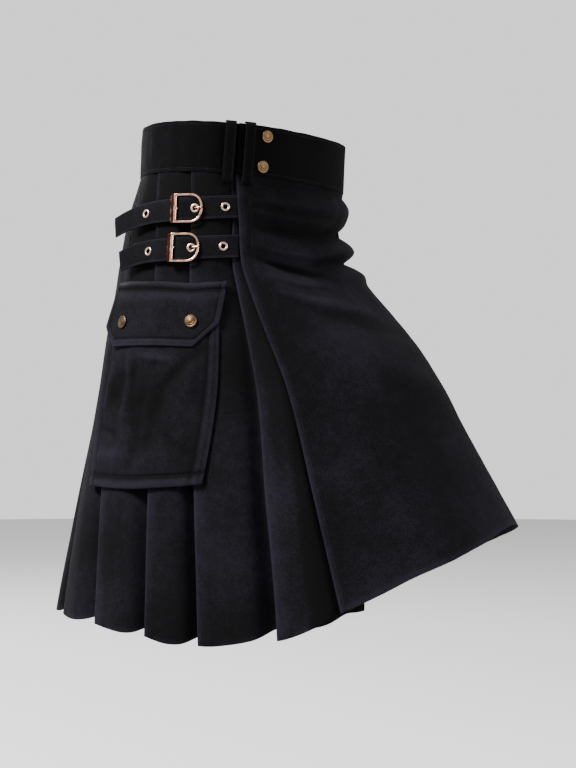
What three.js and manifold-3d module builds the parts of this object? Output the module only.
// A wrap-over utility kilt in black cotton drill, held open in the shape it has when it is worn.
// Millimetres, +Z up. The front faces -Y and the wearer's right side faces -X.
// The origin is the centre of the waistband, where the waist holds the kilt up.
import * as THREE from "three";
import { mergeVertices } from "three/addons/utils/BufferGeometryUtils.js";
import Module from "manifold-3d";

const wasm = await Module();
wasm.setup();

// Thicknesses and clearances
const CLOTH = 1.2; // one layer of drill
const BAND_CLOTH = 3; // the waistband, with its interfacing
const DOUBLED = 1.8; // a strap, flap or pocket turned and sewn double
const GAP = 0.3; // between pieces at a seam
const FOLD_RADIUS = 0.85; // of the cloth's middle, round a pressed crease

// Waistband: one strip that starts over the apron's right edge and ends inside, under its own start
const BAND_HEIGHT = 56;
const BAND_TILT = 6; // how far its front dips below its centre
const HIP_RISE = 3.5; // how far it rises over the hips
const BAND_LEAN = 2.8; // how far its top leans forward
const BAND_OUT = 1.2; // its middle, outside the form
const OVER_BAND_OUT = 4.9; // the same where it laps over its own end
const BAND_START = 63.2; // angles, in degrees
const BAND_END = -408;
const LAP_FROM = -96; // where the lap rises
const LAP_TO = -74;
const BAND_STEP = 4.6;

// Belt loops: the angle of each one, and how far its lower end turns in to the skirt
const LOOPS = [
  { deg: 67.7, end: 1.5 },
  { deg: 57.7, end: 2.3 },
  { deg: -57.7, end: 2.3 },
  { deg: -67.7, end: 2.3 },
  { deg: 176.4, end: -0.2 },
  { deg: 183.6, end: -0.2 },
];
const LOOP_WIDTH = 12;
const LOOP_CLOTH = 1.6;
const LOOP_ROOM = 3.8; // for the belt
const LOOP_BELOW = 10; // how far it reaches below the seam

// Snaps
const SNAP = { radius: 7, height: 2.4 };
const BAND_SNAPS = [
  { deg: 47.9, height: 16.5 },
  { deg: 49.6, height: -17 },
];

// Side straps: the height of each one's middle, its tail's length and droop, and the tail's eyelet
const STRAPS = [
  { name: "upper", height: -63.4, tail: 67, droop: 12, eyelet: 17.5 },
  { name: "lower", height: -107, tail: 51, droop: 8, eyelet: 6 },
];
const STRAP_WIDTH = 25;
const STRAP_FALL = 0.09; // how far it drops for each degree that it runs back
const STRAP_SLANT = 7; // of the cut across its tip
const STRAP_LEAVES = 106; // angle where the tail leaves the body, straight on
const STRAP_RUN = [
  { deg: 60.5, out: 3.6 },
  { deg: 66, out: 4.15 },
  { deg: 72, out: 3.75 },
  { deg: 77, out: 3.7 },
  { deg: 81.2, out: 4 },
  { deg: 83.4, out: 4.35 },
  { deg: 85.2, out: 4.8 },
  { deg: 87, out: 5.25 },
  { deg: 89, out: 5.9 },
  { deg: 90.9, out: 7.05 },
  { deg: 93.1, out: 8.35 },
  { deg: 94.8, out: 8.35 },
  { deg: 96.5, out: 8.1 },
  { deg: 99.9, out: 7.4 },
  { deg: 102, out: 7.1 },
  { deg: 106, out: 7 },
];
const EYELET_FRONT = 68.6; // angle of the first eyelet
const EYELET_AHEAD = 13.1; // how far ahead of the buckle's middle its prong comes through
const EYELET = { hole: 2.2, barrel: 2.9, rim: 4.9, height: 1.9, cut: 3.2 };

// Buckles, in a frame that lies on the body at their angle: x to the front, y up, z out
const BUCKLE_ANGLE = 91.4;
const BUCKLE = { front: 21, rear: 15.5, halfHeight: 16.4, wire: 2.4, keeper: 7.5 };
const BUCKLE_TILT = 11.4; // its rear end stands up, over the strap
const BUCKLE_RISE = 4.6; // of the wire's middle at its front end
const BUCKLE_DROP = 0.7; // of its middle, where the strap leans out over the slope of the body
const BAR = { x: -4, z: 4.6, radius: 1 }; // below the strap, inside the tab's fold
const TAB = { width: 24, cloth: 0.8, slot: 3.4 };
const PRONG = { width: 2, thick: 1.3, eye: 2.1, bore: 1.3 };

// Cargo pocket: corners of its bag and of its flap on the form, and how far it bulges
const BAG = {
  top: { front: { deg: 72.2, down: 0.256 }, rear: { deg: 130, down: 0.258 } },
  bottom: { front: { deg: 82.7, down: 0.664 }, rear: { deg: 128.6, down: 0.702 } },
  sag: 0.012, // of the middle of its lower edge
  bulge: 2.2,
  swell: 5, // how far its rear edge stands off at its middle
  hang: 0.8, // how far its lower edge stands off
};
const FLAP = {
  top: { front: { deg: 67.9, down: 0.241 }, rear: { deg: 130.5, down: 0.246 } },
  bottom: { front: { deg: 77.1, down: 0.374 }, rear: { deg: 129, down: 0.393 } },
  sag: 0,
  shoulder: 0.68, // where its side edges turn in, as a share of its depth
  corner: 0.14, // how far in they turn, as a share of its width
  lift: 6, // how far its rear corner stands off
};
const FLAP_SNAPS = [
  { across: 0.2, along: 0.6 },
  { across: 0.79, along: 0.63 },
];

// The form, from the waistband seam (down 0) to the hem (down 1), as half sizes of each level
const SECTIONS = [
  { down: 0, halfWidth: 150, front: 100, back: 112, square: 0 },
  { down: 0.1, halfWidth: 158, front: 103, back: 129, square: 0 },
  { down: 0.2, halfWidth: 168, front: 106, back: 138, square: 0.03 },
  { down: 0.27, halfWidth: 173, front: 124, back: 143, square: 0.06 },
  { down: 0.36, halfWidth: 180, front: 155, back: 152, square: 0.09 },
  { down: 0.5, halfWidth: 187, front: 199, back: 163, square: 0.15 },
  { down: 0.74, halfWidth: 200, front: 251, back: 187, square: 0.2 },
  { down: 1, halfWidth: 215, front: 308, back: 212, square: 0.25 },
];

// The hem's height below the origin, by angle from the front centre towards the wearer's right
const HEM = [
  { deg: -180, height: -514 },
  { deg: -120, height: -514 },
  { deg: -84, height: -518 },
  { deg: -60, height: -466 },
  { deg: -40, height: -434 },
  { deg: -20, height: -416 },
  { deg: 0, height: -411 },
  { deg: 20, height: -426 },
  { deg: 40, height: -450 },
  { deg: 54, height: -480 },
  { deg: 60, height: -494 },
  { deg: 70, height: -521 },
  { deg: 77, height: -526 },
  { deg: 84, height: -532 },
  { deg: 98, height: -524 },
  { deg: 120, height: -516 },
  { deg: 150, height: -514 },
  { deg: 180, height: -514 },
];
const DROOP = 0.45; // how far a layer hangs lower for each millimetre that it lies further out

// Fold lines and free edges: the angle of each one at four levels
const FOLD_LEVELS = { waist: 0, fell: 0.19, middle: 0.55, hem: 1 };
const FELL = 0.18; // the pleats are sewn down to here, and open below it
const FIRST_EDGES = [
  { waist: 65, fell: 63, middle: 67.3, hem: 70.6 },
  { waist: 89.4, fell: 86.2, middle: 85.1, hem: 84.2 },
  { waist: 113.4, fell: 105.6, middle: 100.4, hem: 96.4 },
];
const FOURTH_EDGE = { waist: 137, fell: 130, middle: 125, hem: 116 };
const LAST_EDGE = { waist: 278, fell: 278, middle: 277, hem: 276 };
const PLEATS_BEHIND = 7; // even pleats from the fourth edge to the last one
const TUCK = { waist: 20, hem: 40 }; // how deep each pleat folds under
const STAND = { waist: 1.7, hem: 7 }; // the height of a pleat's crown over the form
const DEEP_STAND = { waist: 1.7, hem: 11 }; // the same for the wide pleat beside the apron
const CREASE = { waist: 1.7, hem: 4 }; // the height of a pressed edge
const DEEP_CREASE = { waist: 1.7, hem: 7 };
const PLEAT_ROWS = [0, 0.09, 0.16, 0.2, 0.25, 0.32, 0.44, 0.56, 0.68, 0.8, 0.9, 1];

// Aprons
const APRON_RIGHT = { waist: 63.6, fell: 60, middle: 58.6, hem: 59.2 };
const APRON_LEFT = { waist: -62, fell: -61, middle: -60, hem: -60 };
const APRON_OUT = { waist: 5.3, hem: 9 };
const APRON_RETURN = 26; // turned under along the left edge
const APRON_COLUMNS = 26;
const APRON_ROWS = [
  0, 0.025, 0.05, 0.075, 0.095, 0.112, 0.13, 0.148, 0.165, 0.182, 0.2, 0.218, 0.24, 0.28, 0.33, 0.4, 0.48, 0.58,
  0.69, 0.8, 0.9, 1,
];
const UNDER_RIGHT = { waist: 55, fell: 54, middle: 53, hem: 54 }; // where the under apron meets the deep pleat
const UNDER_LEFT = { waist: -48, fell: -47, middle: -45, hem: -44 };
const UNDER_SHORTER = 0.965; // the under apron's length as a share of the over apron's
const DEEP_LONGER = 1.045; // the deep pleat's length there as a share of the over apron's
const UNDER_BELOW = { waist: 4.3, hem: 13 };
const UNDER_COLUMNS = 14;
const UNDER_DIP = { down: 0.16, width: 0.1, depth: -20, from: -52, to: 56 }; // inside the rolls
const UNDER_ROWS = [0, 0.05, 0.1, 0.15, 0.2, 0.26, 0.34, 0.5, 0.72, 1];

// Rolls that bunch across the apron below the waistband: troughs and ridges that run round it
const ROLLS = [
  { down: 0.015, width: 0.02, depth: -2.5, sag: 0, from: -50, to: 50 },
  { down: 0.05, width: 0.03, depth: 4, sag: 0, from: -50, to: 50 },
  { down: 0.12, width: 0.024, depth: -15, sag: 0.006, from: -53, to: 56 },
  { down: 0.165, width: 0.024, depth: 6.5, sag: 0.01, from: -50, to: 50 },
  { down: 0.198, width: 0.018, depth: -12, sag: 0.03, from: -51, to: 57 },
  { down: 0.232, width: 0.022, depth: 6, sag: 0.02, from: -50, to: 50 },
];

const DEG = Math.PI / 180;
const lerp = THREE.MathUtils.lerp;
const smooth = (x, from, to) => THREE.MathUtils.smoothstep(x, from, to);
const steps = (count) => Array.from({ length: count + 1 }, (_, i) => i / count);

// Reads one column of a table at a place between its rows, along a smooth curve through them.
function read(table, key, column, at) {
  const last = table.length - 1;
  let i = table.findIndex((row) => row[key] > at) - 1;
  if (i === -2) i = last - 1;
  i = Math.max(i, 0);
  const slope = (k) => {
    const a = table[Math.max(k - 1, 0)];
    const b = table[Math.min(k + 1, last)];
    return (b[column] - a[column]) / (b[key] - a[key]);
  };
  const low = table[i];
  const high = table[i + 1];
  const span = high[key] - low[key];
  const t = THREE.MathUtils.clamp((at - low[key]) / span, 0, 1);
  const t2 = t * t;
  const t3 = t2 * t;
  const ends = (2 * t3 - 3 * t2 + 1) * low[column] + (3 * t2 - 2 * t3) * high[column];
  const bend = (t3 - 2 * t2 + t) * slope(i) + (t3 - t2) * slope(i + 1);
  return ends + bend * span;
}

// The same angle between -180 and 180.
const turned = (deg) => THREE.MathUtils.euclideanModulo(deg + 180, 360) - 180;

const bandCentre = (deg) => -BAND_TILT * Math.cos(deg * DEG) + HIP_RISE * Math.sin(deg * DEG) ** 2;
const seamHeight = (deg) => bandCentre(deg) - BAND_HEIGHT / 2;
const hemHeight = (deg) => read(HEM, "deg", "height", turned(deg));

// The outline of one level, seen from above: a point on it and the way along it per degree.
function outline(deg, down) {
  const level = THREE.MathUtils.clamp(down, 0, 1);
  const halfWidth = read(SECTIONS, "down", "halfWidth", level);
  const square = read(SECTIONS, "down", "square", level);
  const s = Math.sin(deg * DEG);
  const c = Math.cos(deg * DEG);
  const front = c > 0;
  const depth = read(SECTIONS, "down", front ? "front" : "back", level);
  const fuller = front ? square : 0;
  const at = new THREE.Vector2(-halfWidth * s, -depth * c * (1 + fuller * s * s));
  const along = new THREE.Vector2(-halfWidth * c, depth * s * (1 + fuller * (s * s - 2 * c * c)));
  return { at, along: along.multiplyScalar(DEG) };
}

const perDegree = (deg, down) => outline(deg, down).along.length();

// A point of the form, moved out from it, on its way down from the seam to the hem.
function place(deg, down, out) {
  const { at, along } = outline(deg, down);
  along.normalize();
  const height = lerp(seamHeight(deg), hemHeight(deg), down) - DROOP * out * down * down;
  return new THREE.Vector3(at.x - along.y * out, at.y + along.x * out, height);
}

// A point of the waistband, by its height over the band's centre line.
function bandPlace(deg, height, out) {
  const point = place(deg, 0, out);
  point.y -= BAND_LEAN * (height / BAND_HEIGHT + 0.5);
  point.z = bandCentre(deg) + height;
  return point;
}

// Where a fold line lies at one level, and how large a size that grows below the fell is there.
const fan = (down) => Math.max(0, (down - FELL) / (1 - FELL));
const edgeAt = (edge, down) =>
  read(Object.entries(FOLD_LEVELS).map(([level, at]) => ({ down: at, deg: edge[level] })), "down", "deg", down);
const sizeAt = (size, down) => lerp(size.waist, size.hem, fan(down));

// A closed wall between two grids of points, rows of columns.
function wall(outer, inner) {
  const rows = outer.length;
  const columns = outer[0].length;
  const positions = [...outer.flat(), ...inner.flat()].flatMap((p) => p.toArray());
  const index = [];
  const quad = (a, b, c, d) => index.push(a, b, c, a, c, d);
  const front = (r, c) => r * columns + c;
  const rear = (r, c) => rows * columns + front(r, c);
  for (let r = 0; r < rows - 1; r++)
    for (let c = 0; c < columns - 1; c++) {
      quad(front(r, c), front(r + 1, c), front(r + 1, c + 1), front(r, c + 1));
      quad(rear(r, c), rear(r, c + 1), rear(r + 1, c + 1), rear(r + 1, c));
    }
  for (let c = 0; c < columns - 1; c++) {
    quad(front(0, c + 1), rear(0, c + 1), rear(0, c), front(0, c));
    quad(front(rows - 1, c), rear(rows - 1, c), rear(rows - 1, c + 1), front(rows - 1, c + 1));
  }
  for (let r = 0; r < rows - 1; r++) {
    quad(front(r, 0), rear(r, 0), rear(r + 1, 0), front(r + 1, 0));
    quad(front(r + 1, columns - 1), rear(r + 1, columns - 1), rear(r, columns - 1), front(r, columns - 1));
  }
  const geometry = new THREE.BufferGeometry();
  geometry.setAttribute("position", new THREE.Float32BufferAttribute(positions, 3));
  geometry.setIndex(index);
  return facingOut(geometry);
}

// The geometry with its faces turned outwards.
function facingOut(geometry) {
  const p = geometry.getAttribute("position");
  const index = geometry.getIndex().array;
  const [a, b, c] = [new THREE.Vector3(), new THREE.Vector3(), new THREE.Vector3()];
  let volume = 0;
  for (let i = 0; i < index.length; i += 3) {
    a.fromBufferAttribute(p, index[i]);
    b.fromBufferAttribute(p, index[i + 1]);
    c.fromBufferAttribute(p, index[i + 2]);
    volume += a.dot(b.cross(c));
  }
  if (volume < 0)
    for (let i = 0; i < index.length; i += 3) [index[i + 1], index[i + 2]] = [index[i + 2], index[i + 1]];
  geometry.computeVertexNormals();
  return geometry;
}

// Both faces of a folded layer at one level, from the line of its middle as steps of { deg, out }.
function faces(line, down, thick) {
  const scale = line.map((p) => perDegree(p.deg, down));
  const side = (i) => {
    const way = (from, to) => {
      const across = (scale[from] + scale[to]) / 2;
      return new THREE.Vector2((line[to].deg - line[from].deg) * across, line[to].out - line[from].out);
    };
    const before = way(Math.max(i - 1, 0), Math.max(i, 1)).normalize();
    const after = way(Math.min(i, line.length - 2), Math.min(i + 1, line.length - 1)).normalize();
    const across = new THREE.Vector2(-before.y - after.y, before.x + after.x).normalize();
    const mitre = Math.max(across.dot(new THREE.Vector2(-before.y, before.x)), 0.6);
    return across.multiplyScalar(thick / 2 / mitre);
  };
  const make = (sign) =>
    line.map((p, i) => {
      const move = side(i);
      return place(p.deg + (sign * move.x) / scale[i], down * (p.longer ?? 1), p.out + sign * move.y);
    });
  return [make(1), make(-1)];
}

// A wall of folded cloth: lineAt gives the middle of its layer at each level.
function foldedWall(lineAt, rows, thick) {
  const pairs = rows.map((down) => faces(lineAt(down), down, thick));
  return wall(
    pairs.map((pair) => pair[0]),
    pairs.map((pair) => pair[1]),
  );
}

// The pressed edges of the knife pleats, from the wide one beside the apron round the back.
const EDGES = [...FIRST_EDGES];
for (let i = 0; i <= PLEATS_BEHIND; i++) {
  const level = (name) => lerp(FOURTH_EDGE[name], LAST_EDGE[name], i / PLEATS_BEHIND);
  EDGES.push({ waist: level("waist"), fell: level("fell"), middle: level("middle"), hem: level("hem") });
}

// The middle of the pleated cloth at one level. Each panel climbs out from under its neighbour, folds
// back at its pressed edge, turns again inside and goes on as the next panel.
function pleatLine(down) {
  const line = [];
  const tuck = sizeAt(TUCK, down);
  let from = edgeAt(UNDER_RIGHT, down);
  let low = -sizeAt(DEEP_STAND, down);
  EDGES.forEach((edge, k) => {
    const deep = k === 0;
    const stand = sizeAt(deep ? DEEP_STAND : STAND, down);
    const crease = sizeAt(deep ? DEEP_CREASE : CREASE, down);
    const at = edgeAt(edge, down);
    const step = 1 / perDegree(at, down);
    const room = (at - from) / step;
    const under = Math.min(tuck, room * 0.55);
    const crown = at - under * step;
    for (const t of [0, 0.4, 1])
      line.push({
        deg: lerp(from, crown, t),
        out: lerp(low, stand, Math.sin((t * Math.PI) / 2)),
        longer: deep ? lerp(DEEP_LONGER, 1, t) : 1,
      });
    line.push({ deg: lerp(crown, at, 0.6), out: lerp(stand, crease, 0.4) });
    const turn = FOLD_RADIUS * step;
    line.push({ deg: at, out: crease });
    line.push({ deg: at + turn, out: crease - FOLD_RADIUS });
    line.push({ deg: at, out: crease - 2 * FOLD_RADIUS });
    const inside = crease - 2 * FOLD_RADIUS;
    line.push({ deg: crown, out: -inside });
    line.push({ deg: crown - turn, out: -inside - FOLD_RADIUS });
    line.push({ deg: crown, out: -inside - 2 * FOLD_RADIUS });
    from = at;
    low = -stand;
  });
  const end = edgeAt(APRON_LEFT, down) + 360;
  const hidden = (APRON_RETURN - 1) / perDegree(end, down);
  const inner = -sizeAt(CREASE, down);
  line.push({ deg: from, out: low });
  line.push({ deg: lerp(from, end, 0.3), out: low + 1 });
  line.push({ deg: lerp(from, end, 0.8), out: low });
  line.push({ deg: end, out: low });
  line.push({ deg: end + hidden, out: inner });
  return line;
}

// How far a trough or ridge that runs round the front moves a layer out, at one place.
function rollAt(roll, deg, down) {
  const at = roll.down + (roll.sag ?? 0) * Math.sin(((deg - roll.from) / (roll.to - roll.from)) * Math.PI);
  const across = Math.exp(-(((down - at) / roll.width) ** 2));
  const ends = smooth(deg, roll.from, roll.from + 10) * (1 - smooth(deg, roll.to - 34, roll.to));
  return roll.depth * across * ends;
}
const apronBase = (down) => lerp(APRON_OUT.waist, APRON_OUT.hem, down);
const apronOut = (deg, down) => ROLLS.reduce((out, roll) => out + rollAt(roll, deg, down), apronBase(down));

// The over apron: its free right edge, the front, and the left edge turned under.
function apronLine(down) {
  const right = edgeAt(APRON_RIGHT, down);
  const left = edgeAt(APRON_LEFT, down);
  const line = [];
  for (let i = 0; i <= APRON_COLUMNS; i++) {
    const deg = lerp(right, left, i / APRON_COLUMNS);
    line.push({ deg, out: apronOut(deg, down) });
  }
  const edge = apronOut(left, down);
  const step = 1 / perDegree(left, down);
  const returned = APRON_RETURN * step;
  line.push({ deg: left - FOLD_RADIUS * step, out: edge - FOLD_RADIUS });
  line.push({ deg: left, out: edge - 2 * FOLD_RADIUS });
  const below = -sizeAt(CREASE, down) + CLOTH + 4 * GAP;
  line.push({ deg: left + returned, out: Math.min(below, edge - 2 * FOLD_RADIUS) });
  return line;
}

// The under apron lies inside the over apron and clear of its rolls.
function underLine(down) {
  const right = edgeAt(UNDER_RIGHT, down);
  const left = edgeAt(UNDER_LEFT, down);
  const low = -sizeAt(DEEP_STAND, down);
  const line = [];
  for (let i = 0; i <= UNDER_COLUMNS; i++) {
    const deg = lerp(right, left, i / UNDER_COLUMNS) - (i === 0 ? (CLOTH + GAP) / perDegree(right, down) : 0);
    const free = apronBase(down) - lerp(UNDER_BELOW.waist, UNDER_BELOW.hem, down) + rollAt(UNDER_DIP, deg, down);
    line.push({ deg, out: lerp(low, free, smooth(i, 0, 4)) });
  }
  return line;
}

// The rows of a skirt panel, a little below the waistband seam.
const belowSeam = (rows) => rows.map((down, i) => (i === 0 ? 0.0006 : down));

const pleatedBody = foldedWall(pleatLine, belowSeam(PLEAT_ROWS), CLOTH);
const overApron = foldedWall(apronLine, belowSeam(APRON_ROWS), CLOTH);
const underRows = belowSeam(UNDER_ROWS.map((down) => down * UNDER_SHORTER));
const underApron = foldedWall(underLine, underRows, CLOTH);

// The waistband's middle at one angle of its long strip.
const bandOut = (deg) => lerp(BAND_OUT, OVER_BAND_OUT, smooth(deg, LAP_FROM, LAP_TO));
const bandFace = (deg) => bandOut(deg > BAND_START ? deg - 360 : deg) + BAND_CLOTH / 2;

function waistband() {
  const count = Math.round((BAND_START - BAND_END) / BAND_STEP);
  const angles = steps(count).map((t) => lerp(BAND_START, BAND_END, t));
  const edge = (height, side) =>
    angles.map((deg) => bandPlace(deg, height, bandOut(deg) + (side * BAND_CLOTH) / 2));
  const face = (side) => [edge(BAND_HEIGHT / 2, side), edge(-BAND_HEIGHT / 2, side)];
  return wall(face(1), face(-1));
}

// A frame that lies on a surface: x towards the front, y up, z out. The surface is given as
// pointAt(turn, rise, out), with turn growing towards the back.
function frameOn(pointAt, out) {
  const at = pointAt(0, 0, out);
  const x = pointAt(-0.5, 0, out).sub(pointAt(0.5, 0, out)).normalize();
  const y = pointAt(0, 0.5, out).sub(pointAt(0, -0.5, out));
  y.addScaledVector(x, -y.dot(x)).normalize();
  const z = new THREE.Vector3().crossVectors(x, y);
  return new THREE.Matrix4().makeBasis(x, y, z).setPosition(at);
}
const bandFrame = (deg, height, out) => frameOn((turn, rise, o) => bandPlace(deg + turn, height + rise, o), out);

// The outline of a strip of cloth or metal that is seen on edge, from the line of its middle.
function stripShape(points, thick) {
  const line = points.map(([x, y]) => new THREE.Vector2(x, y));
  const last = line.length - 1;
  const side = (sign) =>
    line.map((p, i) => {
      const before = line[Math.max(i, 1)].clone().sub(line[Math.max(i, 1) - 1]).normalize();
      const after = line[Math.min(i, last - 1) + 1].clone().sub(line[Math.min(i, last - 1)]).normalize();
      const across = new THREE.Vector2(-before.y - after.y, before.x + after.x).normalize();
      const mitre = Math.max(across.dot(new THREE.Vector2(-before.y, before.x)), 0.6);
      return p.clone().addScaledVector(across, (sign * thick) / 2 / mitre);
    });
  return new THREE.Shape([...side(1), ...side(-1).reverse()]);
}

// A shape drawn in x and z and extruded along y, or drawn in z and y and extruded along x.
function alongY(shape, depth) {
  const geometry = new THREE.ExtrudeGeometry(shape, { depth, bevelEnabled: false, curveSegments: 8 });
  return geometry.rotateX(Math.PI / 2).translate(0, depth / 2, 0);
}
function alongX(shape, depth) {
  const geometry = new THREE.ExtrudeGeometry(shape, { depth, bevelEnabled: false });
  return geometry.rotateY(-Math.PI / 2).translate(depth / 2, 0, 0);
}

// Joins and cuts: a geometry as a solid, and the solid back as a geometry.
function solid(geometry) {
  const bare = geometry.clone();
  bare.deleteAttribute("normal");
  bare.deleteAttribute("uv");
  const merged = mergeVertices(bare, 1e-4);
  const vertProperties = new Float32Array(merged.getAttribute("position").array);
  const triVerts = new Uint32Array(merged.getIndex().array);
  return new wasm.Manifold(new wasm.Mesh({ numProp: 3, vertProperties, triVerts }));
}
function geometryOf(manifold) {
  const mesh = manifold.getMesh();
  const geometry = new THREE.BufferGeometry();
  geometry.setAttribute("position", new THREE.BufferAttribute(new Float32Array(mesh.vertProperties), 3));
  geometry.setIndex(new THREE.BufferAttribute(new Uint32Array(mesh.triVerts), 1));
  geometry.computeVertexNormals();
  return geometry;
}

// A belt loop stands off the band. Its upper end lies on the band's top edge, its lower end on the skirt.
function beltLoop(end) {
  const half = LOOP_CLOTH / 2;
  const top = BAND_HEIGHT / 2;
  const room = LOOP_ROOM + half;
  const path = [
    [-2, top + GAP + half],
    [1, top + GAP + half + 0.4],
    [room - 1, top - 0.6],
    [room, top - 4],
    [room, -top],
    [room, -top - LOOP_BELOW + 3],
    [room - 0.3 * end, -top - LOOP_BELOW + 0.8],
    [room - end, -top - LOOP_BELOW - 1.2],
  ];
  return alongX(stripShape(path, LOOP_CLOTH), LOOP_WIDTH);
}

// A snap's cap: a low dome with a raised rim.
function snap() {
  const { radius, height } = SNAP;
  const profile = [
    [0, 0],
    [radius - 0.4, 0],
    [radius, 0.5],
    [radius, height * 0.5],
    [radius - 0.7, height * 0.78],
    [radius - 1.6, height * 0.7],
    [radius * 0.4, height * 0.95],
    [0, height],
  ];
  return new THREE.LatheGeometry(profile.map(([x, y]) => new THREE.Vector2(x, y)), 16).rotateX(Math.PI / 2);
}

// A strap runs round the body at a steady height, and its tail goes straight on and droops.
const downAt = (deg, z) => (seamHeight(deg) - z) / (seamHeight(deg) - hemHeight(deg));
function strapPoint(strap, deg, beyond, rise, out) {
  const height = (angle) => strap.height + rise - STRAP_FALL * (angle - STRAP_RUN[0].deg);
  const on = (angle, o) => place(angle, downAt(angle, height(angle)), o);
  if (beyond === 0) return on(deg, out);
  const tail = beyond * (1 + (STRAP_SLANT * rise) / STRAP_WIDTH / strap.tail);
  const along = on(STRAP_LEAVES + 0.5, out).sub(on(STRAP_LEAVES - 0.5, out)).normalize();
  const droop = strap.droop * (tail / strap.tail) ** 2;
  return on(STRAP_LEAVES, out).addScaledVector(along, tail).add(new THREE.Vector3(0, 0, -droop));
}
const strapOut = (deg) => read(STRAP_RUN, "deg", "out", deg);
const strapFrame = (strap, { deg, beyond }) => {
  const pointAt = (turn, rise, out) => {
    const angle = beyond ? deg : deg + turn;
    return strapPoint(strap, angle, beyond && beyond + turn, rise, strapOut(angle) + out);
  };
  return frameOn(pointAt, 0);
};
function eyeletsOf(strap) {
  const ahead = EYELET_AHEAD / perDegree(BUCKLE_ANGLE, downAt(BUCKLE_ANGLE, strap.height));
  return [
    { deg: EYELET_FRONT, beyond: 0 },
    { deg: BUCKLE_ANGLE - ahead, beyond: 0 },
    { deg: STRAP_LEAVES, beyond: strap.eyelet },
  ];
}

function strapCloth(strap) {
  const stations = [
    ...steps(22).map((t) => ({ deg: lerp(STRAP_RUN[0].deg, STRAP_LEAVES, t), beyond: 0 })),
    ...[0.25, 0.5, 0.75, 1].map((t) => ({ deg: STRAP_LEAVES, beyond: strap.tail * t })),
  ];
  const face = (side) =>
    [STRAP_WIDTH / 2, 0, -STRAP_WIDTH / 2].map((rise) =>
      stations.map(({ deg, beyond }) => strapPoint(strap, deg, beyond, rise, strapOut(deg) + (side * DOUBLED) / 2)),
    );
  let cloth = solid(wall(face(1), face(-1)));
  for (const at of eyeletsOf(strap)) {
    const punch = new THREE.CylinderGeometry(EYELET.cut, EYELET.cut, 5, 14).rotateX(Math.PI / 2);
    cloth = cloth.subtract(solid(punch.applyMatrix4(strapFrame(strap, at))));
  }
  return geometryOf(cloth);
}

// An eyelet: a barrel through the strap and a rolled rim on its face.
function eyelet() {
  const { hole, barrel, rim, height } = EYELET;
  const face = DOUBLED / 2 + 0.2;
  const profile = [
    [hole, -face],
    [barrel, -face],
    [barrel, face],
    [rim - 0.2, face],
    [rim, face + 0.25],
    [rim - 0.7, height],
    [hole + 0.9, height + 0.1],
    [hole, height - 0.5],
    [hole, -face],
  ];
  return new THREE.LatheGeometry(profile.map(([x, y]) => new THREE.Vector2(x, y)), 14).rotateX(Math.PI / 2);
}

// The frame of a buckle: round at the front, square at the rear, with a dropped bar for its prong.
function buckleFrame() {
  const { front, rear, halfHeight, wire, keeper } = BUCKLE;
  const outline = (shape, x0, x1, y, corner) => {
    shape.moveTo(x0 + corner, -y);
    shape.lineTo(x1 - y * 0.85, -y);
    shape.bezierCurveTo(x1 - y * 0.25, -y, x1, -y * 0.55, x1, 0);
    shape.bezierCurveTo(x1, y * 0.55, x1 - y * 0.25, y, x1 - y * 0.85, y);
    shape.lineTo(x0 + corner, y);
    shape.quadraticCurveTo(x0, y, x0, y - corner);
    shape.lineTo(x0, -y + corner);
    shape.quadraticCurveTo(x0, -y, x0 + corner, -y);
  };
  const bevel = 0.6;
  const shape = new THREE.Shape();
  outline(shape, -rear + bevel, front - bevel, halfHeight - bevel, 4);
  const hole = new THREE.Path();
  outline(hole, -rear + keeper - bevel, front - wire + bevel, halfHeight - wire + bevel, 2);
  shape.holes.push(hole);
  const depth = wire - 2 * bevel;
  const options = { depth, bevelThickness: bevel, bevelSize: bevel, bevelSegments: 1, curveSegments: 6 };
  const ring = new THREE.ExtrudeGeometry(shape, options).translate(0, 0, -depth / 2);
  const tilt = (BUCKLE_TILT * Math.PI) / 180;
  ring.translate(-front, 0, 0).rotateY(tilt).translate(front, 0, BUCKLE_RISE);
  const side = halfHeight - wire / 2;
  const bar = new THREE.CylinderGeometry(BAR.radius, BAR.radius, 2 * side, 10).translate(BAR.x, 0, BAR.z);
  const ringHeight = BUCKLE_RISE + (front - BAR.x) * Math.tan(tilt);
  const drop = ringHeight - BAR.z + BAR.radius;
  const lug = (y) =>
    new THREE.CylinderGeometry(BAR.radius, BAR.radius, drop, 10)
      .rotateX(Math.PI / 2)
      .translate(BAR.x, y, BAR.z - BAR.radius + drop / 2);
  return geometryOf(solid(ring).add(solid(bar)).add(solid(lug(side))).add(solid(lug(-side))));
}

// The prong turns on the bar, comes up through the strap's eyelet and rests on the frame's front end.
function prong() {
  const run = [
    [BAR.x + 1.6, 4.3],
    [10.6, 2.65],
    [12.1, 3],
    [13.05, 6.6],
    [14.4, 7.2],
    [23.2, 6.9],
  ];
  const eye = new THREE.Shape().absarc(BAR.x, BAR.z, PRONG.eye, 0, 2 * Math.PI);
  eye.holes.push(new THREE.Path().absarc(BAR.x, BAR.z, PRONG.bore, 0, 2 * Math.PI));
  const shank = solid(alongY(stripShape(run, PRONG.thick), PRONG.width));
  return geometryOf(solid(alongY(eye, PRONG.width)).add(shank));
}

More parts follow.
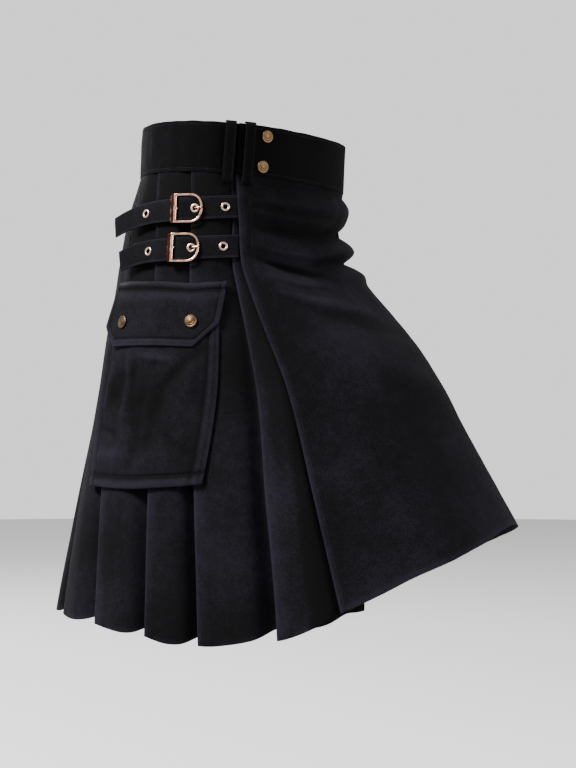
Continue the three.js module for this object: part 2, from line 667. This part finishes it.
// The buckle's tab: cloth folded round the bar, its two layers sewn flat on the pleats behind it.
function buckleTab() {
  const fold = BAR.radius + GAP + TAB.cloth / 2;
  const wrap = [-100, -50, 0, 50, 100].map((deg) => [
    BAR.x + fold * Math.cos(deg * DEG),
    BAR.z + fold * Math.sin(deg * DEG),
  ]);
  const under = [
    [-25, 0.3],
    [-20, 1.4],
    [-14, 2.3],
    [-9, 2.7],
  ];
  const over = [
    [-8.5, 5.1],
    [-14, 3.6],
    [-20, 2.65],
    [-25, 1.55],
  ];
  const run = [...under, ...wrap, ...over];
  const cloth = solid(alongY(stripShape(run, TAB.cloth), TAB.width));
  const slot = new THREE.BoxGeometry(7, TAB.slot, 12).translate(BAR.x + 1.5, 0, BAR.z);
  return geometryOf(cloth.subtract(solid(slot)));
}
const buckleSeat = (strap) =>
  frameOn((turn, rise, out) => strapPoint(strap, BUCKLE_ANGLE + turn, 0, rise, out), 0).multiply(
    new THREE.Matrix4().makeTranslation(0, -BUCKLE_DROP, 0),
  );

// A point of a pocket piece: across from its front edge to its rear edge, along from its top down.
function pocketPoint(piece, across, along, out) {
  const corner = (key) => {
    const top = lerp(piece.top.front[key], piece.top.rear[key], across);
    const bottom = lerp(piece.bottom.front[key], piece.bottom.rear[key], across);
    return lerp(top, bottom, along);
  };
  const sag = piece.sag * along * Math.sin(Math.PI * across);
  const down = corner("down") + sag;
  return place(corner("deg"), down, sizeAt(STAND, down) + CLOTH / 2 + GAP + DOUBLED / 2 + out);
}
function bagOut(across, along) {
  const rise = BAG.bulge * Math.sin(Math.PI * across) + BAG.swell * across ** 4;
  return 0.15 + rise * Math.sin(Math.PI * along) + BAG.hang * along;
}
function flapOut(across, along) {
  const over = bagOut(across, along * 0.3) + DOUBLED + GAP + 0.15;
  return lerp(0.15, over, smooth(along, 0, 0.1)) + FLAP.lift * across ** 5 * along;
}
function pocketPiece(piece, outAt, columns, rows, reach) {
  const face = (side) =>
    rows.map((along) =>
      columns.map((across) => {
        const down = along * reach(across);
        return pocketPoint(piece, across, down, outAt(across, down) + (side * DOUBLED) / 2);
      }),
    );
  return wall(face(1), face(-1));
}
const bag = () => pocketPiece(BAG, bagOut, steps(12), [0, 0.1, 0.22, 0.36, 0.5, 0.64, 0.78, 0.9, 1], () => 1);
function flap() {
  const { shoulder, corner } = FLAP;
  const reach = (across) => Math.min(1, lerp(shoulder, 1, Math.min(across, 1 - across) / corner));
  const columns = [0, 0.07, corner, 0.22, 0.32, 0.42, 0.5, 0.58, 0.68, 0.78, 1 - corner, 0.93, 1];
  return pocketPiece(FLAP, flapOut, columns, [0, 0.06, 0.12, 0.3, 0.5, 0.75, 1], reach);
}
function flapFrame({ across, along }) {
  const width = 100; // a step of one hundredth of the flap for each degree
  const pointAt = (turn, rise, out) => {
    const a = across + turn / width;
    const b = along - rise / width;
    return pocketPoint(FLAP, a, b, flapOut(a, b) + DOUBLED / 2 + out);
  };
  return frameOn(pointAt, GAP);
}

const kilt = new THREE.Group();
const CLOTH_COLOUR = 0x17171c;
const BRASS = 0x8a6d45;
const COPPER = 0xb87350;
function add(name, geometry, colour, roughness, metalness, frame) {
  const material = new THREE.MeshStandardMaterial({ color: colour, roughness, metalness });
  const mesh = new THREE.Mesh(geometry, material);
  mesh.name = name;
  if (frame) frame.decompose(mesh.position, mesh.quaternion, mesh.scale);
  kilt.add(mesh);
}
const addCloth = (name, geometry, frame) => add(name, geometry, CLOTH_COLOUR, 0.9, 0, frame);
const addMetal = (name, geometry, colour, frame) => add(name, geometry, colour, 0.35, 0.9, frame);

addCloth("pleated_body", pleatedBody);
addCloth("over_apron", overApron);
addCloth("under_apron", underApron);
addCloth("waistband", waistband());
LOOPS.forEach(({ deg, end }, i) =>
  addCloth(`belt_loop_${i + 1}`, beltLoop(end), bandFrame(deg, 0, bandFace(deg))),
);
BAND_SNAPS.forEach(({ deg, height }, i) =>
  addMetal(`band_snap_${i + 1}`, snap(), BRASS, bandFrame(deg, height, bandFace(deg) + GAP)),
);
for (const strap of STRAPS) {
  const seat = buckleSeat(strap);
  addCloth(`strap_${strap.name}`, strapCloth(strap));
  addCloth(`buckle_tab_${strap.name}`, buckleTab(), seat);
  addMetal(`buckle_${strap.name}`, buckleFrame(), COPPER, seat);
  addMetal(`prong_${strap.name}`, prong(), COPPER, seat);
  eyeletsOf(strap).forEach((at, i) =>
    addMetal(`eyelet_${strap.name}_${i + 1}`, eyelet(), BRASS, strapFrame(strap, at)),
  );
}
addCloth("pocket_bag", bag());
addCloth("pocket_flap", flap());
FLAP_SNAPS.forEach((at, i) => addMetal(`flap_snap_${i + 1}`, snap(), BRASS, flapFrame(at)));

export default kilt;
